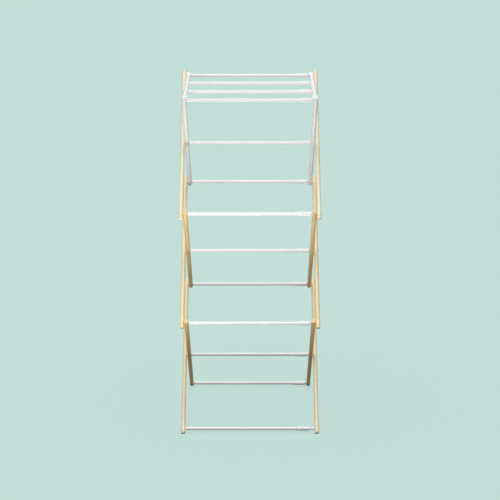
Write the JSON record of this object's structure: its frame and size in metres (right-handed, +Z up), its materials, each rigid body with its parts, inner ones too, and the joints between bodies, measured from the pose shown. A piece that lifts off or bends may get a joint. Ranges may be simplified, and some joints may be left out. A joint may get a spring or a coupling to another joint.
{
  "type": "folding drying rack",
  "caption": "Free-standing folding drying rack: crossed dowel legs in stacked scissor stages, rungs that telescope in width, and a hinged platform at the top.",
  "frame": {"origin": "on the floor, at the centre of the rack's footprint", "axes": "+X across the rack along the rungs, towards the thin inner tubes' side; -Y to the front; +Z up"},
  "size_m": [0.43, 0.4342, 1.0629],
  "materials": {
    "natural_wood": "clear satin lacquer over a pale, straight-grained dowel",
    "white_lacquer": "white satin lacquer over a turned dowel",
    "white_steel": "smooth white powder coat, satin",
    "white_plastic": "moulded white plastic, satin"
  },
  "bodies": {
    "left_outer_leg_1_body": {"left_outer_leg_1": "natural_wood", "front_rung_1_outer_tube": "white_steel", "front_rung_1_collar": "white_plastic", "centre_rung_1_outer_tube": "white_steel", "centre_rung_1_collar": "white_plastic"},
    "left_outer_leg_2_body": {"left_outer_leg_2": "natural_wood", "back_rung_3_outer_tube": "white_steel", "back_rung_3_collar": "white_plastic"},
    "left_outer_leg_3_body": {"left_outer_leg_3": "natural_wood", "front_rung_3_outer_tube": "white_steel", "front_rung_3_collar": "white_plastic", "back_rung_4_outer_tube": "white_steel", "back_rung_4_collar": "white_plastic"},
    "left_inner_leg_1_body": {"left_inner_leg_1": "natural_wood", "back_rung_1_outer_tube": "white_steel", "back_rung_1_collar": "white_plastic", "front_rung_2_outer_tube": "white_steel", "front_rung_2_collar": "white_plastic"},
    "left_inner_leg_2_body": {"left_inner_leg_2": "natural_wood", "back_rung_2_outer_tube": "white_steel", "back_rung_2_collar": "white_plastic", "centre_rung_2_outer_tube": "white_steel", "centre_rung_2_collar": "white_plastic"},
    "left_inner_leg_3_body": {"left_inner_leg_3": "white_lacquer", "front_rung_4_outer_tube": "white_steel", "front_rung_4_collar": "white_plastic", "centre_rung_3_outer_tube": "white_steel", "centre_rung_3_collar": "white_plastic"},
    "left_top_rail_body": {"left_top_rail": "white_lacquer", "left_rail_eye": "white_plastic", "left_rail_hook": "white_plastic", "top_rung_1_outer_tube": "white_steel", "top_rung_1_collar": "white_plastic", "top_rung_2_outer_tube": "white_steel", "top_rung_2_collar": "white_plastic"},
    "right_outer_leg_1_body": {"right_outer_leg_1": "natural_wood", "front_rung_1_inner_tube": "white_steel", "centre_rung_1_inner_tube": "white_steel"},
    "right_outer_leg_2_body": {"right_outer_leg_2": "natural_wood", "back_rung_3_inner_tube": "white_steel"},
    "right_outer_leg_3_body": {"right_outer_leg_3": "natural_wood", "front_rung_3_inner_tube": "white_steel", "back_rung_4_inner_tube": "white_steel"},
    "right_inner_leg_1_body": {"right_inner_leg_1": "natural_wood", "back_rung_1_inner_tube": "white_steel", "front_rung_2_inner_tube": "white_steel"},
    "right_inner_leg_2_body": {"right_inner_leg_2": "natural_wood", "back_rung_2_inner_tube": "white_steel", "centre_rung_2_inner_tube": "white_steel"},
    "right_inner_leg_3_body": {"right_inner_leg_3": "white_lacquer", "front_rung_4_inner_tube": "white_steel", "centre_rung_3_inner_tube": "white_steel"},
    "right_top_rail_body": {"right_top_rail": "white_lacquer", "right_rail_eye": "white_plastic", "right_rail_hook": "white_plastic", "top_rung_1_inner_tube": "white_steel", "top_rung_2_inner_tube": "white_steel"}
  },
  "joints": [
    {"name": "fold", "type": "hinge", "parent": "left_outer_leg_1_body", "child": "left_inner_leg_2_body", "pos_m": [0, 0.2, 0.357], "axis": [1, 0, 0], "range_deg": [0, 76]},
    {"name": "stage_1_scissor", "type": "hinge", "parent": "left_outer_leg_1_body", "child": "left_inner_leg_1_body", "pos_m": [0, 0, 0.1845], "axis": [1, 0, 0], "range_deg": [0, 76]},
    {"name": "stage_2_scissor", "type": "hinge", "parent": "left_inner_leg_2_body", "child": "left_outer_leg_2_body", "pos_m": [0, 0, 0.5295], "axis": [1, 0, 0], "range_deg": [-76, 0]},
    {"name": "stage_3_back_pivot", "type": "hinge", "parent": "left_outer_leg_2_body", "child": "left_inner_leg_3_body", "pos_m": [0, 0.2, 0.702], "axis": [1, 0, 0], "range_deg": [0, 76]},
    {"name": "stage_3_scissor", "type": "hinge", "parent": "left_inner_leg_3_body", "child": "left_outer_leg_3_body", "pos_m": [0, 0, 0.8745], "axis": [1, 0, 0], "range_deg": [-76, 0]},
    {"name": "top_rail_lift", "type": "hinge", "parent": "left_outer_leg_3_body", "child": "left_top_rail_body", "pos_m": [0, 0.2, 1.047], "axis": [-1, 0, 0], "range_deg": [0, 100]},
    {"name": "width_slide", "type": "slide", "parent": "left_outer_leg_1_body", "child": "right_outer_leg_1_body", "axis": [1, 0, 0], "range_m": [0, 0.31]},
    {"name": "outer_leg_2_slide", "type": "slide", "parent": "left_outer_leg_2_body", "child": "right_outer_leg_2_body", "axis": [1, 0, 0], "range_m": [0, 0.31]},
    {"name": "outer_leg_3_slide", "type": "slide", "parent": "left_outer_leg_3_body", "child": "right_outer_leg_3_body", "axis": [1, 0, 0], "range_m": [0, 0.31]},
    {"name": "inner_leg_1_slide", "type": "slide", "parent": "left_inner_leg_1_body", "child": "right_inner_leg_1_body", "axis": [1, 0, 0], "range_m": [0, 0.31]},
    {"name": "inner_leg_2_slide", "type": "slide", "parent": "left_inner_leg_2_body", "child": "right_inner_leg_2_body", "axis": [1, 0, 0], "range_m": [0, 0.31]},
    {"name": "inner_leg_3_slide", "type": "slide", "parent": "left_inner_leg_3_body", "child": "right_inner_leg_3_body", "axis": [1, 0, 0], "range_m": [0, 0.31]},
    {"name": "top_rail_slide", "type": "slide", "parent": "left_top_rail_body", "child": "right_top_rail_body", "axis": [1, 0, 0], "range_m": [0, 0.31]}
  ],
  "couplings": [
    {"joint": "stage_1_scissor", "follows": "fold", "ratio": 1},
    {"joint": "stage_2_scissor", "follows": "fold", "ratio": -1},
    {"joint": "stage_3_back_pivot", "follows": "fold", "ratio": 1},
    {"joint": "stage_3_scissor", "follows": "fold", "ratio": -1},
    {"joint": "outer_leg_2_slide", "follows": "width_slide", "ratio": 1},
    {"joint": "outer_leg_3_slide", "follows": "width_slide", "ratio": 1},
    {"joint": "inner_leg_1_slide", "follows": "width_slide", "ratio": 1},
    {"joint": "inner_leg_2_slide", "follows": "width_slide", "ratio": 1},
    {"joint": "inner_leg_3_slide", "follows": "width_slide", "ratio": 1},
    {"joint": "top_rail_slide", "follows": "width_slide", "ratio": 1}
  ]
}
